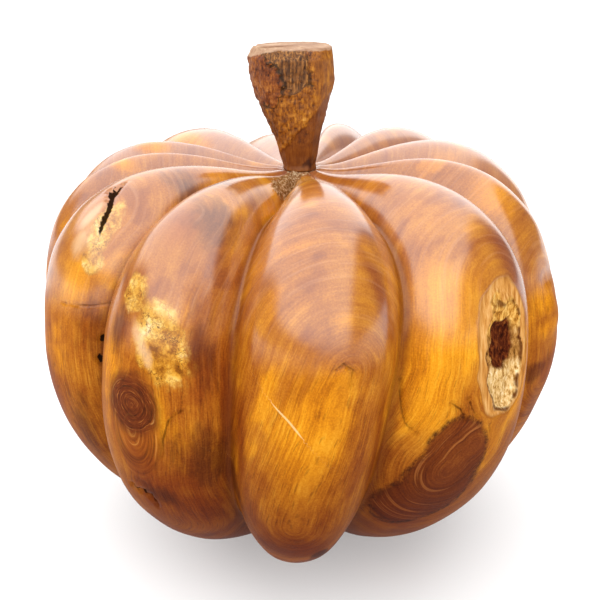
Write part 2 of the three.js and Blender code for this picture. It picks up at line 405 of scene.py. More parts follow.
def body_marks(surface):
    """Fields on the body's vertices that its material reads."""
    marks = {"ring": ring_field(surface), "crease": surface.crease}
    for name, spots in PATCHES.items():
        marks[name] = highest(surface.spot(*spot) for spot in spots)
    marks["knot"] = highest(surface.spot(*place, size, size * tall) for *place, size, tall in KNOTS)
    marks["flow"] = highest(knot_flow(surface, *knot) for knot in KNOTS)
    for name, lines in (("crack", CRACKS), ("scratch", SCRATCHES)):
        marks[name + "_across"], marks[name + "_width"] = trace(surface, lines)
    add_pocket_marks(surface, marks)
    marks["chips"] = chip_field(surface.points)
    return marks


def chip_field(points):
    """1 along the middle of the torn strip from the stem's foot down a front crease, and 0 at its edge."""
    _, distance, share = from_stretch(points[..., :2], np.array(CHIPS_FROM), np.array(CHIPS_TO))
    field = 1 - distance / lerp(*CHIPS_HALF_WIDTHS, share)
    return np.where(points[..., 2] > EQUATOR_HEIGHT, np.maximum(field, OUTSIDE), OUTSIDE)


def add_pocket_marks(surface, marks):
    """The decayed pocket: how far inside its edge, its floor and its dark cavity, and how far up it."""
    half_width, half_height = POCKET["half_width"], POCKET["half_height"]
    across, along, out = surface.spread(POCKET["azimuth"], POCKET["height"])
    near = (out > -POCKET_BEHIND) & (np.abs(across) < 2 * half_width) & (np.abs(along) < 2 * half_height)
    ragged = np.zeros(near.shape)
    ragged[near] = crumbs(surface.points[near], RAGGED)

    def inside(aside, up, half_width, half_height):
        parts = np.abs((across - aside) / half_width), np.abs((along - up) / half_height)
        reach = sum(part**POCKET_SQUARENESS for part in parts) ** (1 / POCKET_SQUARENESS)
        return np.where(near, 1 - reach, OUTSIDE)

    marks["pocket"] = inside(0.0, 0.0, half_width, half_height) + EDGE_RAGGED * ragged
    marks["pocket_floor"] = inside(*POCKET_FLOOR) + FLOOR_RAGGED * ragged
    marks["cavity"] = inside(*POCKET_CAVITY) + CAVITY_RAGGED * ragged
    marks["pocket_up"] = along / half_height


def crumble(points, size, seed):
    """Coherent noise from -1 to 1 at each of a list of points."""
    shift = Vector((seed, 2.0 * seed, 3.0 * seed))
    return np.array([noise.noise(Vector(point) / size + shift) for point in points])


def crumbs(points, layers):
    """Layers of noise, added up."""
    return sum(share * crumble(points, size, seed) for share, size, seed in layers)


def pocket_depth(surface, marks):
    """How far the decayed pocket is sunk at each point: a bevelled rim, a crumbling floor and a cavity."""
    depth = np.zeros(marks["pocket"].shape)
    inside = marks["pocket"] > -POCKET_MARGIN
    pocket, bottom, cavity = [marks[name][inside] for name in ("pocket", "pocket_floor", "cavity")]
    rough = 1.0 + FLOOR_ROUGHNESS * crumbs(surface.points[inside], CRUMBLING)
    rim = RIM_DEPTH * smoothstep(pocket, *RIM_SLOPE)
    floor = FLOOR_DEPTH * smoothstep(bottom, *FLOOR_SLOPE) * rough
    depth[inside] = rim + floor + CAVITY_DEPTH * smoothstep(cavity, *CAVITY_SLOPE)
    return depth


def chip_depth(surface, marks):
    """The torn wood at the crown."""
    depth = np.zeros(marks["chips"].shape)
    near = marks["chips"] > 0
    torn = crumbs(surface.points[near], TORN)
    depth[near] = CHIP_HEIGHT * torn * smoothstep(marks["chips"][near], *CHIP_SLOPE)
    return depth


def crack_depth(marks):
    inside = marks["crack_width"] + CRACK_LIP - np.abs(marks["crack_across"])
    return CRACK_DEPTH * smoothstep(inside, 0.0, CRACK_SLOPE)


def carving_waves(surface):
    """The slight waves that carving and sanding by hand leave."""
    total = np.zeros(surface.points.shape[:2])
    random = np.random.default_rng(WAVE_SEED)
    for _ in range(WAVE_COUNT):
        direction = random.normal(size=3)
        direction /= np.linalg.norm(direction)
        length = random.uniform(*WAVE_LENGTHS)
        total += np.sin(surface.points @ direction * 2 * math.pi / length + random.uniform(0, 2 * math.pi))
    return WAVE_HEIGHT * total / math.sqrt(WAVE_COUNT)


def sunk_surface(surface, marks):
    """The surface with everything that is cut, torn or decayed, and the knob's bumps."""
    depth = pocket_depth(surface, marks) + crack_depth(marks)
    depth += carving_waves(surface) + chip_depth(surface, marks)
    for *place, stands_out in KNOB_BUMPS:
        depth -= stands_out * smoothstep(surface.spot(*place), *BUMP_SLOPE)
    return surface.points - surface.normals * depth[..., None]


def level_ends(points, seat_height):
    """Flattens the base and the stem's seat."""
    points = points.copy()
    points[..., 2] = np.maximum(points[..., 2], 0.0)
    near = np.hypot(points[..., 0] - STEM_AXIS, points[..., 1]) < SEAT_RADIUS
    points[near, 2] = np.minimum(points[near, 2], seat_height)
    return points


def add_mesh(name, vertices, faces):
    """A new object with a mesh of its own."""
    mesh = bpy.data.meshes.new(name)
    mesh.from_pydata(vertices, [], faces)
    added = bpy.data.objects.new(name, mesh)
    bpy.context.collection.objects.link(added)
    return added


def grid_mesh(name, points, low_pole, high_pole, marks):
    """A closed mesh from rows and columns of points in millimetres, with a pole at each end."""
    rows, columns = points.shape[:2]
    vertices = np.concatenate([points.reshape(-1, 3), [low_pole, high_pole]]) * MM
    numbers = np.arange(rows * columns).reshape(rows, columns)
    after = np.roll(numbers, -1, axis=1)
    quads = np.stack([numbers[:-1], after[:-1], after[1:], numbers[1:]], axis=-1).reshape(-1, 4)
    low, high = rows * columns, rows * columns + 1
    faces = quads.tolist()
    faces += [(low, second, first) for first, second in zip(numbers[0].tolist(), after[0].tolist())]
    faces += [(high, first, second) for first, second in zip(numbers[-1].tolist(), after[-1].tolist())]
    piece = add_mesh(name, vertices.tolist(), faces)
    piece.data.shade_smooth()
    for key, values in marks.items():
        flat = np.concatenate([values.ravel(), [values[0].mean(), values[-1].mean()]])
        mark = piece.data.attributes.new(key, "FLOAT", "POINT")
        mark.data.foreach_set("value", flat.astype(np.float32))
    return piece


# Materials

def srgb(code):
    """A colour in linear light from a hexadecimal code."""
    channels = [int(code[start : start + 2], 16) / 255 for start in (0, 2, 4)]
    return tuple(c / 12.92 if c < 0.04045 else ((c + 0.055) / 1.055) ** 2.4 for c in channels) + (1.0,)


class Shader:
    """The nodes of a material or the sky. Most methods add a node and return its output."""

    def __init__(self, tree, coordinates="Object"):
        self.tree = tree
        self.position = self.node("ShaderNodeTexCoord", coordinates)
        self.color = None

    def node(self, kind, output, inputs=(), **settings):
        """Adds a node and returns one of its outputs. Inputs are (socket, value) pairs."""
        node = self.tree.nodes.new(kind)
        for key, value in settings.items():
            setattr(node, key, value)
        for socket, value in inputs:
            self.feed(node.inputs[socket], value)
        return node.outputs[output]

    def feed(self, socket, value):
        """Links an output to a socket, or sets the socket to a number or to the colour of a code."""
        if isinstance(value, bpy.types.NodeSocket):
            self.tree.links.new(value, socket)
        else:
            socket.default_value = srgb(value) if isinstance(value, str) else value

    def finish(self, name, value):
        """Feeds one of the surface's own inputs."""
        self.feed(self.tree.nodes["Principled BSDF"].inputs[name], value)

    def part(self, axis):
        """The position along an axis."""
        return self.node("ShaderNodeSeparateXYZ", axis, [(0, self.position)])

    def millimetres(self, axis):
        return self.math("DIVIDE", self.part(axis), MM)

    def mark(self, name):
        return self.node("ShaderNodeAttribute", "Fac", attribute_name=name)

    def math(self, operation, first, second=0.0):
        return self.node("ShaderNodeMath", 0, [(0, first), (1, second)], operation=operation)

    def times(self, first, second):
        return self.math("MULTIPLY", first, second)

    def largest(self, first, second):
        return self.math("MAXIMUM", first, second)

    def rest(self, value):
        """What a share leaves of 1."""
        return self.math("SUBTRACT", 1.0, value)

    def total(self, *terms):
        """The sum of value times weight over the terms."""
        result = 0.0
        for value, weight in terms:
            result = self.math("ADD", self.times(value, weight), result)
        return result

    def noise(self, sizes, across=None, width=1.0, detail=3, roughness=0.5):
        """Noise from 0 to 1. With across, it also changes over each width of that field, drawing lines."""
        units = [1 / (MM * size) for size in np.broadcast_to(sizes, 3)]
        scaled = self.node("ShaderNodeVectorMath", 0, [(0, self.position), (1, units)], operation="MULTIPLY")
        line = 0.0 if across is None else self.math("DIVIDE", across, width)
        inputs = [("Vector", scaled), ("W", line), ("Scale", 1.0)]
        inputs += [("Detail", detail), ("Roughness", roughness)]
        return self.node("ShaderNodeTexNoise", "Fac", inputs, noise_dimensions="4D")

    def frayed(self, name, reach, sizes, **settings):
        """A mark with noise of this reach added, which frays the edges drawn from it."""
        return self.total((self.mark(name), 1.0), (self.noise(sizes, **settings), reach), (1.0, -reach / 2))

    def winding(self, sizes, **settings):
        """How far noise is from its middle, which is 0 along winding lines."""
        return self.math("ABSOLUTE", self.math("SUBTRACT", self.noise(sizes, **settings), 0.5))

    def step(self, value, low, high):
        """0 at low, 1 at high, smooth between and level beyond."""
        inputs = [("Value", value), ("From Min", low), ("From Max", high)]
        return self.node("ShaderNodeMapRange", "Result", inputs, interpolation_type="SMOOTHSTEP")

    def band(self, value, start, full, fading, end):
        """1 between full and fading, 0 before start and after end."""
        return self.times(self.step(value, start, full), self.step(value, end, fading))

    def mix(self, share, under, above, strength=1.0, blend="MIX"):
        """One colour over another, where share is 1 and as strongly as given."""
        inputs = [(0, self.times(share, strength)), (6, under), (7, above)]
        return self.node("ShaderNodeMix", 2, inputs, data_type="RGBA", blend_type=blend)

    def lay(self, share, above, strength=1.0):
        """The same over the surface's colour so far."""
        self.color = self.mix(share, self.color, above, strength)

    def ramp(self, value, stops):
        """A colour from a value, with (place, colour code) stops."""
        color = self.node("ShaderNodeValToRGB", "Color", [("Fac", value)])
        elements = color.node.color_ramp.elements
        while len(elements) < len(stops):
            elements.new(1.0)
        for element, (place, code) in zip(elements, stops):
            element.position = place
            element.color = srgb(code)
        return color

    def bump(self, height, distance, strength):
        inputs = [("Height", height), ("Distance", distance * MM), ("Strength", strength)]
        return self.node("ShaderNodeBump", "Normal", inputs)


def new_material(name):
    """A new material and its nodes."""
    material = bpy.data.materials.new(name)
    material.use_nodes = True
    return material, Shader(material.node_tree)


# The body's grain: how far each kind of mark runs along the rings and across them, in millimetres
BAND_LENGTH, BAND_WIDTH = 90, 4.5
LINE_LENGTH, LINE_WIDTH = 26, 0.9
PORE_LENGTH, PORE_WIDTH = 9, 0.6
THREAD_LENGTH, THREAD_WIDTH = 40, 2.2
PATCH_LENGTH, PATCH_WIDTH = 34, 22.0
ARC_LENGTH, ARC_WIDTH = 60, 1.8
FRAY_WIDTH = 7.0
CLOUD_SIZE, GRIT_SIZE = 45, 1.1
RING_WAVES = [(70, 7.0), (18, 1.2)]  # size and reach

# Heights or distances back from the axis between which the body's looks change
SHEEN_HEIGHTS = (150.0, 230.0)
POLISH_HEIGHTS = (174.0, 204.0)
CROWN_SHEEN_HEIGHTS = (205.0, 245.0)
# painted shade darkens the base between these heights
BASE_SHADE_HEIGHTS = (175.0, 20.0)
CROWN_SHEEN_REAR = (-30.0, 40.0)

# How soft the edge of each kind of area is, how much it frays, and the size of the fraying
AREA_EDGES = {
    "gold": (0.8, 0.6, 40),
    "red_and_shade": (0.9, 0.8, 40),
    "heart_and_shade": (0.9, 1.7, 16),
    "burl": (0.25, 0.8, 9),
    "burl fringe": (0.5, 2.0, 9),
    "pale": (0.8, 1.1, 12),
    "unpolished": (0.7, 0.8, 20),
}

# Kinds of wood on the body, as colours from dark grain to light
PLAIN_WOOD = [(0.3, "6a3208"), (0.43, "934d0f"), (0.53, "aa6317"), (0.64, "c07c22"), (0.8, "d4983e")]
GOLDEN_WOOD = [(0.3, "8c4a0a"), (0.44, "bf720e"), (0.56, "da8e16"), (0.72, "eaaa2c")]
RED_WOOD = [(0.3, "561e08"), (0.5, "80380c"), (0.75, "a35518")]
HEARTWOOD = [(0.3, "2c0f06"), (0.45, "4c1e09"), (0.6, "642c0c"), (0.8, "94501c")]
LENS_WOOD = [(0.3, "35120a"), (0.45, "5a240c"), (0.6, "743411"), (0.8, "9c5822")]
BURL_WOOD = [(0.36, "7e480e"), (0.44, "b87a22"), (0.53, "d09a3a"), (0.63, "dfb45e"), (0.76, "ecd09a")]
FLOW_WOOD = [(0.36, "5a2408"), (0.5, "8a4210"), (0.6, "9c5218"), (0.68, "c08038")]
KNOT_WOOD = [(0.34, "2c1006"), (0.46, "521f0a"), (0.58, "6a2f10"), (0.7, "a2642c")]
TORN_WOOD = [(0.36, "4a2c14"), (0.5, "94683c"), (0.64, "d8c09c")]
RIM_WOOD = [(0.34, "a2662a"), (0.5, "c88c46"), (0.66, "deae70")]
FIBRE_WOOD = [(0.33, "4a280c"), (0.41, "a87838"), (0.51, "d8b070"), (0.66, "f4e0b6")]
WORN_WOOD = [(0.36, "4a280c"), (0.44, "8e5e28"), (0.56, "b88444"), (0.7, "dcb478")]
CRUMB_WOOD = [(0.36, "4a2808"), (0.44, "b4782c"), (0.56, "e0ac56"), (0.72, "f2d490")]
CAVITY_WOOD = [(0.35, "1e0a04"), (0.48, "4a1c0c"), (0.6, "7a3c18"), (0.74, "a8702e")]


class Grain:
    """Fields of the body's grain that its colours share."""

    def __init__(self, wood):
        self.wood = wood
        waves = [(wood.noise(size, detail=1), reach) for size, reach in RING_WAVES]
        self.ring = wood.math("ADD", wood.mark("ring"), wood.total(*waves))
        self.bands = self.drawn(BAND_LENGTH, BAND_WIDTH, roughness=0.7)
        self.lines = self.drawn(LINE_LENGTH, LINE_WIDTH, roughness=0.75)
        self.clouds = wood.noise(CLOUD_SIZE, roughness=0.55)
        self.height = wood.millimetres("Z")
        # painted sheen: from 150 mm up to 230 mm the grain's streaks fade and its pores thin out, as a
        # highlight washes them
        self.painted_sheen = wood.step(self.height, *SHEEN_HEIGHTS)
        pores = wood.step(self.drawn(PORE_LENGTH, PORE_WIDTH, detail=1), 0.59, 0.69)
        self.pores = wood.times(pores, wood.rest(wood.times(self.painted_sheen, 0.75)))
        fading = wood.times(wood.total((self.lines, 0.34), (self.bands, 0.16), (1.0, -0.25)), self.painted_sheen)
        streaks = wood.total((self.bands, 0.4), (self.lines, 0.48), (fading, -1.0))
        grit = wood.noise(GRIT_SIZE, detail=1)
        self.tone = wood.total((streaks, 1.0), (self.clouds, 0.45), (grit, 0.22), (1.0, -0.245))
        self.golden = self.area("gold")

    def drawn(self, length, width, **settings):
        """Noise drawn out along the rings."""
        return self.wood.noise(length, across=self.ring, width=width, **settings)

    def area(self, name, look=None):
        """Where a marked area shows, with a frayed edge."""
        edge, fray, size = AREA_EDGES[look or name]
        settings = {"across": self.ring, "width": FRAY_WIDTH, "roughness": 0.6}
        return self.wood.step(self.wood.frayed(name, fray, size, **settings), 0.0, edge)


def body_material():
    material, wood = new_material("polished_root_wood")
    grain = Grain(wood)
    lay_grain(wood, grain)
    lay_lens(wood, grain)
    lay_flow(wood)
    lay_burl(wood, grain)
    wood.lay(grain.area("pale"), "dcb488", 0.65)
    lay_knots(wood)
    crease = wood.mark("crease")
    # painted shade: the deepest part of each crease is darkened
    wood.lay(wood.step(crease, 0.85, 1.0), "5a270c", 0.5)
    wood.lay(grain.pores, "46200a", 0.32)
    broken = lay_breaks(wood)
    lay_painted_light(wood, grain)
    in_pocket, fibre = lay_pocket(wood)
    wood.finish("Base Color", wood.color)

    dull = wood.largest(in_pocket, broken)
    gloss = wood.total((grain.lines, 0.1), (grain.clouds, 0.14), (dull, 0.4), (1.0, 0.35))
    wood.finish("Roughness", gloss)
    splinters = wood.times(fibre, in_pocket)
    relief = wood.total((grain.lines, 0.25), (grain.pores, -0.5), (splinters, 4.0), (grain.clouds, 0.3))
    wood.finish("Normal", wood.bump(relief, 0.4, 0.35))
    hidden = wood.largest(dull, wood.times(wood.step(crease, 0.7, 1.0), 0.7))
    hidden = wood.largest(hidden, wood.times(grain.area("unpolished"), 0.75))
    polish = wood.times(wood.step(grain.height, *POLISH_HEIGHTS), wood.rest(hidden))
    wood.finish("Coat Weight", polish)
    wood.finish("Coat Roughness", 0.2)
    wood.finish("Coat IOR", 1.85)
    wood.finish("Specular IOR Level", 0.04)
    return material


def lay_grain(wood, grain):
    """Plain wood with golden, reddish and dark areas, some of them painted shade, and pale threads painted as
    sheen high up.
    """
    plain, gold, red_and_shade, heart_and_shade = [
        wood.ramp(grain.tone, stops) for stops in (PLAIN_WOOD, GOLDEN_WOOD, RED_WOOD, HEARTWOOD)
    ]
    patches = grain.drawn(PATCH_LENGTH, PATCH_WIDTH, detail=2, roughness=0.6)
    threads = wood.step(grain.drawn(THREAD_LENGTH, THREAD_WIDTH), 0.5, 0.7)
    wood.color = plain
    wood.lay(wood.step(patches, 0.52, 0.68), gold, 0.7)
    wood.lay(wood.step(patches, 0.47, 0.34), red_and_shade, 0.6)
    wood.lay(grain.golden, gold, 0.9)
    # reddish and dark areas, partly painted shade along creases and on flanks away from the light
    wood.lay(grain.area("red_and_shade"), red_and_shade, 0.85)
    wood.lay(grain.area("heart_and_shade"), heart_and_shade, 0.75)
    # painted sheen: pale threads only high up, where the top catches the light
    wood.lay(wood.times(threads, grain.painted_sheen), "dca878", 0.13)


def lay_lens(wood, grain):
    """Dark heartwood with pale growth lines and a darker, broken edge."""
    lens = wood.frayed("lens", 0.2, 14, roughness=0.6)
    arcs = wood.step(grain.drawn(ARC_LENGTH, ARC_WIDTH, detail=1), 0.60, 0.68)
    dark = wood.mix(arcs, wood.ramp(grain.tone, LENS_WOOD), "b8743a", 0.5)
    broken = wood.step(wood.noise(4, roughness=0.7), 0.36, 0.66)
    wood.lay(wood.step(lens, -0.1, 0.12), dark, 0.9)
    wood.lay(wood.times(wood.band(lens, -0.1, 0.0, 0.04, 0.16), broken), "361406", 0.85)


def lay_flow(wood):
    """Reddish wood with arcs that hang below each knot."""
    flow = wood.mark("flow")
    arcs = wood.noise(30, across=flow, width=0.07, detail=2, roughness=0.6)
    wood.lay(wood.step(flow, -0.05, 0.4), wood.ramp(arcs, FLOW_WOOD), 0.75)


def lay_burl(wood, grain):
    """Yellow burl with brown veins and dark specks, and a brown fringe."""
    mottle = wood.total((wood.noise(11, detail=4, roughness=0.65), 1.1), (grain.clouds, 0.3), (1.0, -0.19))
    veins = wood.step(wood.winding(8, detail=5, roughness=0.7), 0.05, 0.0)
    yellow = wood.mix(veins, wood.ramp(mottle, BURL_WOOD), "8e5216", 0.55)
    squiggles = wood.step(wood.winding(4.5, roughness=0.6), 0.022, 0.006)
    specks = wood.largest(squiggles, wood.step(wood.noise(1.6, detail=2), 0.6, 0.68))
    specks = wood.times(specks, wood.step(wood.noise(15, detail=2), 0.48, 0.56))
    wood.lay(grain.area("burl", "burl fringe"), "82521a", 0.6)
    wood.lay(grain.area("burl"), wood.mix(specks, yellow, "46200a", 0.75))


def lay_knots(wood):
    """Round knots, with their own close rings and a broken pale outline."""
    knot = wood.frayed("knot", 0.36, 12)
    rings = wood.noise(9, across=knot, width=0.06, roughness=0.7)
    broken = wood.step(wood.noise(12, detail=2), 0.44, 0.62)
    wood.lay(wood.step(knot, -0.45, 0.15), wood.ramp(rings, KNOT_WOOD), 0.9)
    wood.lay(wood.times(wood.band(knot, 0.02, 0.05, 0.06, 0.08), broken), "c08a48", 0.55)


def lay_breaks(wood):
    """The cracks, the scratch and the torn crown. Returns where the wood is broken open."""

    def on_line(name, reach):
        wavering = wood.frayed(name + "_across", reach, 5, detail=2)
        beyond = wood.math("SUBTRACT", wood.math("ABSOLUTE", wavering), wood.mark(name + "_width"))
        return wood.step(beyond, 0.35, -0.2)

    cracked = wood.times(on_line("crack", 1.4), wood.step(wood.mark("crack_width"), 0.0, 1.0))
    chips = wood.step(wood.frayed("chips", 2.4, 3), 0.0, 0.3)
    wood.lay(cracked, "1a0d06", 0.97)
    wood.lay(on_line("scratch", 0.24), "f0c88c", 0.7)
    wood.lay(chips, wood.ramp(wood.noise(2.0, roughness=0.7), TORN_WOOD), 0.9)
    return wood.largest(cracked, chips)


def lay_painted_light(wood, grain):
    """Painted light: the crown behind the stem is paled as a painted reflection, and the wood is darkened
    towards the base as painted shade.
    """
    # painted reflection: the crown behind the stem is mixed towards pale lavender grey where the top catches
    # the light
    crown = wood.times(wood.step(wood.millimetres("Y"), *CROWN_SHEEN_REAR), wood.step(grain.height, *CROWN_SHEEN_HEIGHTS))
    wood.lay(wood.times(crown, wood.rest(grain.golden)), "b89a90", 0.4)
    # painted shade: the colour is multiplied darker from 175 mm down to 20 mm
    base_shade = wood.mix(1.0, wood.color, "9a7660", blend="MULTIPLY")
    wood.lay(wood.step(grain.height, *BASE_SHADE_HEIGHTS), base_shade)


def lay_pocket(wood):
    """The pocket's rim, crumbs, fibres and cavity. Returns where the pocket is, and its fibres."""
    names = ("pocket", "pocket_floor", "pocket_up", "cavity")
    pocket, bottom, up, cavity = [wood.mark(name) for name in names]
    fibre = wood.noise((2.0, 2.0, 6.5), detail=5, roughness=0.72)
    rim = wood.ramp(wood.noise((2.2, 2.2, 24), detail=4, roughness=0.6), RIM_WOOD)
    pale, worn, crumbly, hollow = [
        wood.ramp(fibre, stops) for stops in (FIBRE_WOOD, WORN_WOOD, CRUMB_WOOD, CAVITY_WOOD)
    ]
    inside = wood.mix(wood.step(up, -0.4, -0.2), pale, worn)
    inside = wood.mix(wood.step(up, 0.15, 0.35), inside, crumbly)
    inside = wood.mix(wood.step(bottom, -0.03, 0.04), rim, inside)
    # painted shade: a dark, broken band where the rim drops to the floor
    floor_edge_shade = wood.times(wood.band(bottom, -0.03, 0.02, 0.04, 0.1), wood.step(wood.noise(8, detail=2), 0.4, 0.55))
    in_pocket = wood.step(pocket, -0.02, 0.02)
    wood.lay(in_pocket, wood.mix(floor_edge_shade, inside, "54240c", 0.85))
    wood.lay(wood.band(pocket, -0.05, -0.01, 0.0, 0.05), "6a340c", 0.3)
    wood.lay(wood.step(cavity, -0.05, 0.12), hollow)
    return in_pocket, fibre


# The stem, as the CAD stem has it: sections as height and reach left, right, front and back of its axis
STEM_SECTIONS = [
    (0, 11.5, 10.5, 10.5, 10.5),
    (10, 14, 12, 11, 11),
    (20, 17, 13.5, 12.5, 12.5),
    (41, 26.5, 18.8, 15, 15),
    (59, 32, 22.6, 16.5, 18),
    (73, 34, 21.5, 17, 20),
    (80, 30, 20.5, 11, 20),
]
STEM_CORNERS = [
    (-0.1, -1), (0.6, -0.85), (1, -0.2), (0.85, 0.6), (0.3, 1), (-0.45, 0.95), (-0.92, 0.5),
    (-1, -0.1), (-0.72, -0.8),
]
STEM_ROWS = 120
STEM_COLUMNS = 180
STEM_EDGE_SOFTNESS = 4  # columns over which a facet's edge is rounded
STEM_CAP_ROWS = 16
STEM_SOCKET_DEPTH = 25.3
STEM_TOP_MIDDLE = (STEM_AXIS - 3.0, 3.0)  # X and Y

# Marks on the stem's front, as X and height above its foot, but height and X for the two sides of the bark
BARK_LEFT = [(54, -13.4), (61, -12.7), (69, -16.9), (77, -27.4)]
BARK_RIGHT = [(59, 6.2), (68, 4.1), (80, 3.4)]
BARK_FOOT = [(-14, 54.5), (-4.3, 52.4), (1.3, 55.4), (6.2, 58.8)]
LEDGE = [(-28, 44.5), (-21, 43), (-12.7, 49.3)]  # the lower end of the flecked wood left of the bark
FACET_LOW, FACET_HIGH = (-4.5, 24.0), (14.5, 47.0)  # the upper edge of a blade cut at the lower right
FOOT_STAIN_MIDDLE, FOOT_STAIN_RADIUS = (4.5, 5.0), 5.0
SMOOTH_SIDE = 7.0  # the front right of this is smooth
SAWN_EDGE = [(-33, 74), (-26, 76.5), (-15, 78.4)]  # the lower edge of the pale sawn end
BEHIND = 12.0  # how far outside each mark the stem's back counts as being
WANDER = [(4.0, 3.4), (1.7, 1.6)]  # size and reach of the waves that make the marks' edges ragged
CUT_WANDER = 0.4  # share of that in the edge of the blade cut
WANDER_SEEDS = (21.0, 22.0)
STEM_FRONT = (-6.0, 2.0)  # distances towards the front between which the front's marks begin
FIBRES = ((2.6, 2.6, 18.0), 7.0)  # roughness: its sizes along X, Y and Z, and a seed
SCALLOPS, FINE_SCALLOPS = ((4.0, 4.0, 3.0), 8.0), ((1.8, 1.8, 1.6), 9.0)
RIBS = ((1.6, 1.6, 12.0), 10.0)
CUT_SLOPE, BARK_SLOPE, SMOOTH_SLOPE, LEDGE_SLOPE = (-0.6, 0.9), (-0.5, 1.5), (-1.0, 4.0), (-0.5, 0.8)
SCALLOPS_FROM, FOOT_SLOPE = (12.0, 20.0), (0.0, 4.0)  # heights
FIBRE_DEPTH, SCALLOP_DEPTH, CUT_DEPTH, BARK_DEPTH, RIB_DEPTH, LEDGE_HEIGHT = 0.4, 0.6, 0.9, 1.6, 0.8, 0.9
SMOOTHING = 0.8  # how much of the fibres and scallops is gone from the smooth side and the cut


def stem_surface(seat_height):
    """Rows and columns of points from the foot to the top's edge."""
    corners = np.array(STEM_CORNERS + STEM_CORNERS[:1], float)
    reached = np.concatenate([[0.0], np.cumsum(np.linalg.norm(np.diff(corners, axis=0), axis=1))])
    round_it = np.linspace(0.0, reached[-1], STEM_COLUMNS, endpoint=False)
    sharp = [np.interp(round_it, reached, values) for values in corners.T]
    shifts = range(-STEM_EDGE_SOFTNESS, STEM_EDGE_SOFTNESS + 1)
    aside, back = [np.mean([np.roll(values, shift) for shift in shifts], axis=0) for values in sharp]
    levels, *reaches = np.array(STEM_SECTIONS, float).T
    heights = np.linspace(0.0, levels[-1], STEM_ROWS)
    left, right, front, rear = [np.interp(heights, levels, reach)[:, None] for reach in reaches]
    x = STEM_AXIS + aside * np.where(aside < 0, left, right)
    y = back * np.where(back < 0, front, rear)
    z = np.broadcast_to(seat_height + GAP + heights[:, None], x.shape)
    return np.stack([x, y, z], axis=-1)


def stem_marks(points, seat_height):
    """Millimetres inside the edge of each marked area of the stem, less than 0 outside it."""
    flat = points.reshape(-1, 3)

    def wandering(values, seed):
        shift = sum(reach * crumble(flat, size, seed) for size, reach in WANDER)
        return values + shift.reshape(values.shape)

    def limit(edge, value):
        return np.interp(value, *zip(*edge))

    def on_front(inside):
        front = smoothstep(-points[..., 1], *STEM_FRONT)
        return lerp(-BEHIND, np.clip(inside, -BEHIND, BEHIND), front)

    height = points[..., 2] - seat_height - GAP
    x, up = [wandering(values, seed) for values, seed in zip((points[..., 0], height), WANDER_SEEDS)]
    in_bark = np.minimum(x - limit(BARK_LEFT, up), limit(BARK_RIGHT, up) - x)
    run = np.subtract(FACET_HIGH, FACET_LOW)
    cut_x, cut_up = lerp(points[..., 0], x, CUT_WANDER), lerp(height, up, CUT_WANDER)
    facet = (run[1] * (cut_x - FACET_LOW[0]) - run[0] * (cut_up - FACET_LOW[1])) / np.linalg.norm(run)
    from_stain = np.hypot(x - FOOT_STAIN_MIDDLE[0], up - FOOT_STAIN_MIDDLE[1])
    return {
        "bark": on_front(np.minimum(in_bark, up - limit(BARK_FOOT, x))),
        "flecked": on_front(np.minimum(limit(BARK_LEFT, up) - x, up - limit(LEDGE, x))),
        "facet": on_front(facet),
        "smooth": on_front(x - SMOOTH_SIDE),
        "foot_stain": on_front(FOOT_STAIN_RADIUS - from_stain),
        "top": height - limit(SAWN_EDGE, points[..., 0]),
        "above_foot": height,
    }


def hewn_side(side, seat_height):
    """The side with its gouges, bark recess, ledge and blade cut."""
    marks = stem_marks(side, seat_height)
    flat = side.reshape(-1, 3)

    def rough(sizes, seed):
        return crumble(flat / sizes, 1.0, seed).reshape(side.shape[:2])

    facet = smoothstep(marks["facet"], *CUT_SLOPE)
    bark = smoothstep(marks["bark"], *BARK_SLOPE)
    plain = np.maximum(facet, smoothstep(marks["smooth"], *SMOOTH_SLOPE))
    scallops = rough(*SCALLOPS) + rough(*FINE_SCALLOPS) / 2
    above_foot = smoothstep(marks["above_foot"], *SCALLOPS_FROM)
    depth = (FIBRE_DEPTH * rough(*FIBRES) + SCALLOP_DEPTH * scallops * above_foot) * (1 - SMOOTHING * plain)
    depth += CUT_DEPTH * facet + BARK_DEPTH * bark + RIB_DEPTH * bark * rough(*RIBS)
    depth -= LEDGE_HEIGHT * smoothstep(marks["flecked"], *LEDGE_SLOPE)
    fade = smoothstep(marks["above_foot"], *FOOT_SLOPE)
    return side - grid_normals(side) * (depth * fade)[..., None]


def closed_stem(seat_height):
    """The stem's side with its socket below and its sawn top above."""
    side = hewn_side(stem_surface(seat_height), seat_height)
    turn = np.arctan2(side[0, :, 1], side[0, :, 0] - STEM_AXIS)
    foot_height = seat_height + GAP
    circle = np.stack([STEM_AXIS + SOCKET_RADIUS * np.cos(turn), SOCKET_RADIUS * np.sin(turn)], axis=-1)
    socket_height = foot_height + STEM_SOCKET_DEPTH
    socket = [np.column_stack([circle, np.full(len(turn), up)]) for up in (socket_height, foot_height)]
    middle = np.array([*STEM_TOP_MIDDLE, foot_height + STEM_SECTIONS[-1][0]])
    cap = [lerp(middle, side[-1], 1 - share) for share in np.arange(1, STEM_CAP_ROWS) / STEM_CAP_ROWS]
    points = np.concatenate([np.array(socket), side, np.array(cap)])
    marks = stem_marks(points, seat_height)
    return grid_mesh("hewn_stem", points, (STEM_AXIS, 0.0, socket_height), middle, marks)


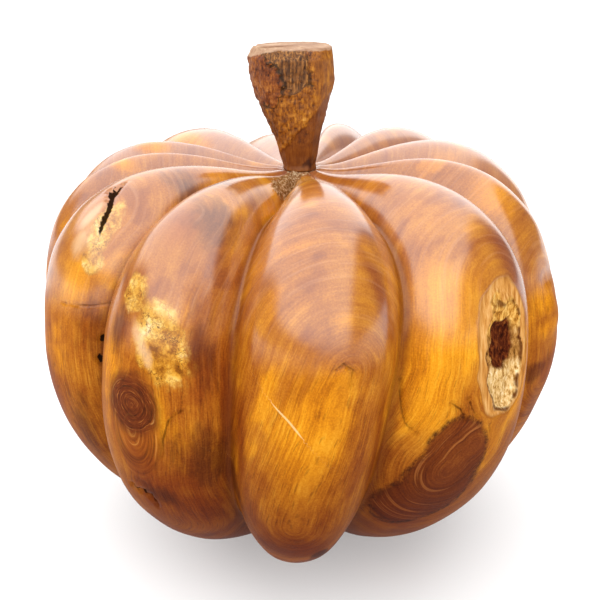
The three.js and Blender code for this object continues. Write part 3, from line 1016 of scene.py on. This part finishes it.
# Kinds of wood on the stem, as colours from dark grain to light
HEWN_WOOD = [(0.3, "301304"), (0.42, "6a3608"), (0.53, "945610"), (0.64, "ba7a20"), (0.78, "d6a24c")]
FLECKED_WOOD = [(0.34, "260e04"), (0.44, "642d08"), (0.54, "884814"), (0.7, "b87832")]
CUT_WOOD = [(0.3, "47200a"), (0.5, "743b0e"), (0.75, "96581c")]
FOOT_WOOD = [(0.3, "5c2a0a"), (0.5, "9c5414"), (0.75, "c47a2a")]
BARK = [(0.34, "2c1608"), (0.45, "5c3612"), (0.56, "885626"), (0.7, "be8844")]
SAWN_WOOD = [(0.36, "8c6850"), (0.5, "a88266"), (0.64, "c4a486")]
STEM_FRAY, SAWN_FRAY, FRAY_SIZE = 1.2, 2.0, 2.0


def stem_material():
    material, wood = new_material("hewn_stem_wood")
    streaks = wood.noise((1.5, 1.5, 20), detail=4, roughness=0.7)
    pits = wood.noise((2.0, 2.0, 3.6), detail=4, roughness=0.75)
    clouds = wood.noise(11, roughness=0.6)
    saw = wood.noise((30, 1.6, 30))
    above_foot = wood.mark("above_foot")
    names = ("flecked", "facet", "bark", "smooth", "foot_stain")
    edges = {name: wood.frayed(name, STEM_FRAY, FRAY_SIZE) for name in names}
    flecked, facet, bark = [wood.step(edges[name], -0.5, 0.7) for name in names[:3]]
    smooth = wood.largest(wood.step(edges["smooth"], -2.0, 4.0), wood.step(above_foot, 22.0, 12.0))
    pitting = wood.times(wood.math("SUBTRACT", pits, 0.5), wood.total((smooth, -0.65), (1.0, 1.0)))
    tone = wood.total((streaks, 0.5), (clouds, 0.45), (pitting, 0.7), (smooth, 0.03), (1.0, 0.03))

    hewn, reddish, cut, foot = [
        wood.ramp(tone, stops) for stops in (HEWN_WOOD, FLECKED_WOOD, CUT_WOOD, FOOT_WOOD)
    ]
    wood.color = wood.mix(flecked, hewn, reddish)
    wood.lay(facet, cut, 0.9)
    wood.lay(wood.step(above_foot, 20.0, 10.0), wood.mix(facet, foot, cut), 0.75)
    wood.lay(bark, wood.ramp(streaks, BARK))
    # painted shade: a dark line round the sunk bark, below its top
    bark_edge_shade = wood.times(wood.band(edges["bark"], -1.6, -0.4, 0.0, 1.2), wood.step(above_foot, 76.0, 62.0))
    wood.lay(bark_edge_shade, "2a1406", 0.65)
    # painted shadow: a dark line along the flecked wood's edge, under the raised ledge
    wood.lay(wood.band(edges["flecked"], -1.8, -0.6, -0.4, 0.6), "2c1a06", 0.85)
    wood.lay(wood.times(wood.step(pits, 0.44, 0.34), wood.rest(smooth)), "2a1206", 0.75)
    wood.lay(wood.step(edges["foot_stain"], 0.0, 4.0), "2a0e0a", 0.8)
    sawn = wood.step(wood.frayed("top", SAWN_FRAY, FRAY_SIZE), -0.5, 0.5)
    wood.lay(sawn, wood.ramp(wood.total((saw, 0.4), (clouds, 0.6)), SAWN_WOOD))
    wood.finish("Base Color", wood.color)

    gloss = wood.total((streaks, 0.3), (sawn, 0.2), (facet, -0.12), (1.0, 0.4))
    wood.finish("Roughness", gloss)
    relief = wood.total((streaks, 0.6), (pitting, 1.2), (saw, 0.2))
    wood.finish("Normal", wood.bump(relief, 0.8, 0.6))
    wood.finish("Specular IOR Level", 0.3)
    return material


def dowel_material():
    material, wood = new_material("dowel_wood")
    streaks = wood.noise((0.8, 0.8, 20))
    wood.finish("Base Color", wood.ramp(streaks, [(0.3, "a8834c"), (0.7, "d9bb88")]))
    wood.finish("Roughness", wood.total((streaks, 0.2), (1.0, 0.55)))
    wood.finish("Normal", wood.bump(streaks, 0.2, 0.3))
    return material


def add_body(seat_height):
    surface = Surface()
    marks = body_marks(surface)
    points = level_ends(sunk_surface(surface, marks), seat_height)
    low_pole = (0.0, 0.0, 0.0)
    high_pole = (STEM_AXIS, 0.0, seat_height)
    return grid_mesh("carved_pumpkin", points, low_pole, high_pole, marks)


def finish_piece(piece, node, material):
    piece.data.materials.append(material)
    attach(piece, "root")
    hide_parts(node)


# The studio

CAMERA_AIM = Vector((-1.4, 0.0, 154.5)) * MM
CAMERA_DISTANCE = 870 * MM
CAMERA_ELEVATION = math.radians(20.0)
PHOTO_FOCAL_PIXELS = 1268
PHOTO_PIXELS = 600
SENSOR_WIDTH = 36.0


def add_camera():
    data = bpy.data.cameras.new("camera")
    data.sensor_width = SENSOR_WIDTH
    data.lens = SENSOR_WIDTH * PHOTO_FOCAL_PIXELS / PHOTO_PIXELS
    data.clip_end = 2.0 * FLOOR_HALF
    camera = bpy.data.objects.new("camera", data)
    away = Vector((0.0, -math.cos(CAMERA_ELEVATION), math.sin(CAMERA_ELEVATION)))
    camera.location = CAMERA_AIM + CAMERA_DISTANCE * away
    camera.rotation_euler = (math.pi / 2 - CAMERA_ELEVATION, 0.0, 0.0)
    bpy.context.collection.objects.link(camera)
    bpy.context.scene.camera = camera


FLOOR_HALF = 40.0  # metres
FLOOR_WHITE = 0.64
FLOOR_GLOW = 0.34
SOFTBOX_LEFT = (-0.92, -0.8)  # directions' X between which the soft light overhead brightens
SOFTBOX_RIGHT = (0.66, 0.52)
SOFTBOX_LOW = (0.05, 0.15)  # the same for Z, raised towards the left by the slant
SOFTBOX_SLANT = 0.25
SKY_DIM = 0.18
SKY_BRIGHT = 2.1


def add_floor():
    corners = [(FLOOR_HALF * x, FLOOR_HALF * y, 0) for x, y in ((-1, -1), (1, -1), (1, 1), (-1, 1))]
    floor = add_mesh("floor", corners, [(0, 1, 2, 3)])
    material, paint = new_material("floor_paint")
    paint.finish("Base Color", (FLOOR_WHITE, FLOOR_WHITE, FLOOR_WHITE, 1.0))
    paint.finish("Roughness", 0.9)
    paint.finish("Specular IOR Level", 0.0)
    paint.finish("Emission Color", (1.0, 1.0, 1.0, 1.0))
    paint.finish("Emission Strength", FLOOR_GLOW)
    floor.data.materials.append(material)


def add_sky():
    """Soft studio light: a wide softbox that runs from the front over the top to the back."""
    world = bpy.data.worlds.new("studio")
    world.use_nodes = True
    sky = Shader(world.node_tree, "Generated")
    x, z = sky.part("X"), sky.part("Z")
    softbox = sky.times(sky.step(x, *SOFTBOX_LEFT), sky.step(x, *SOFTBOX_RIGHT))
    above = sky.total((z, 1.0), (x, SOFTBOX_SLANT))
    bright = sky.times(softbox, sky.step(above, *SOFTBOX_LOW))
    background = world.node_tree.nodes["Background"]
    sky.feed(background.inputs["Strength"], sky.total((bright, SKY_BRIGHT), (1.0, SKY_DIM)))
    background.inputs["Color"].default_value = (1.0, 1.0, 1.0, 1.0)
    bpy.context.scene.world = world


seat_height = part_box("pumpkin_stem")[0][2] / MM - GAP
body = add_body(seat_height)
finish_piece(body, "pumpkin_body", body_material())
stem = closed_stem(seat_height)
finish_piece(stem, "pumpkin_stem", stem_material())
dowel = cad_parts["stem_dowel"]
dowel.data.materials.clear()
dowel.data.materials.append(dowel_material())
add_camera()
add_floor()
add_sky()
bpy.context.scene.view_settings.view_transform = "Standard"
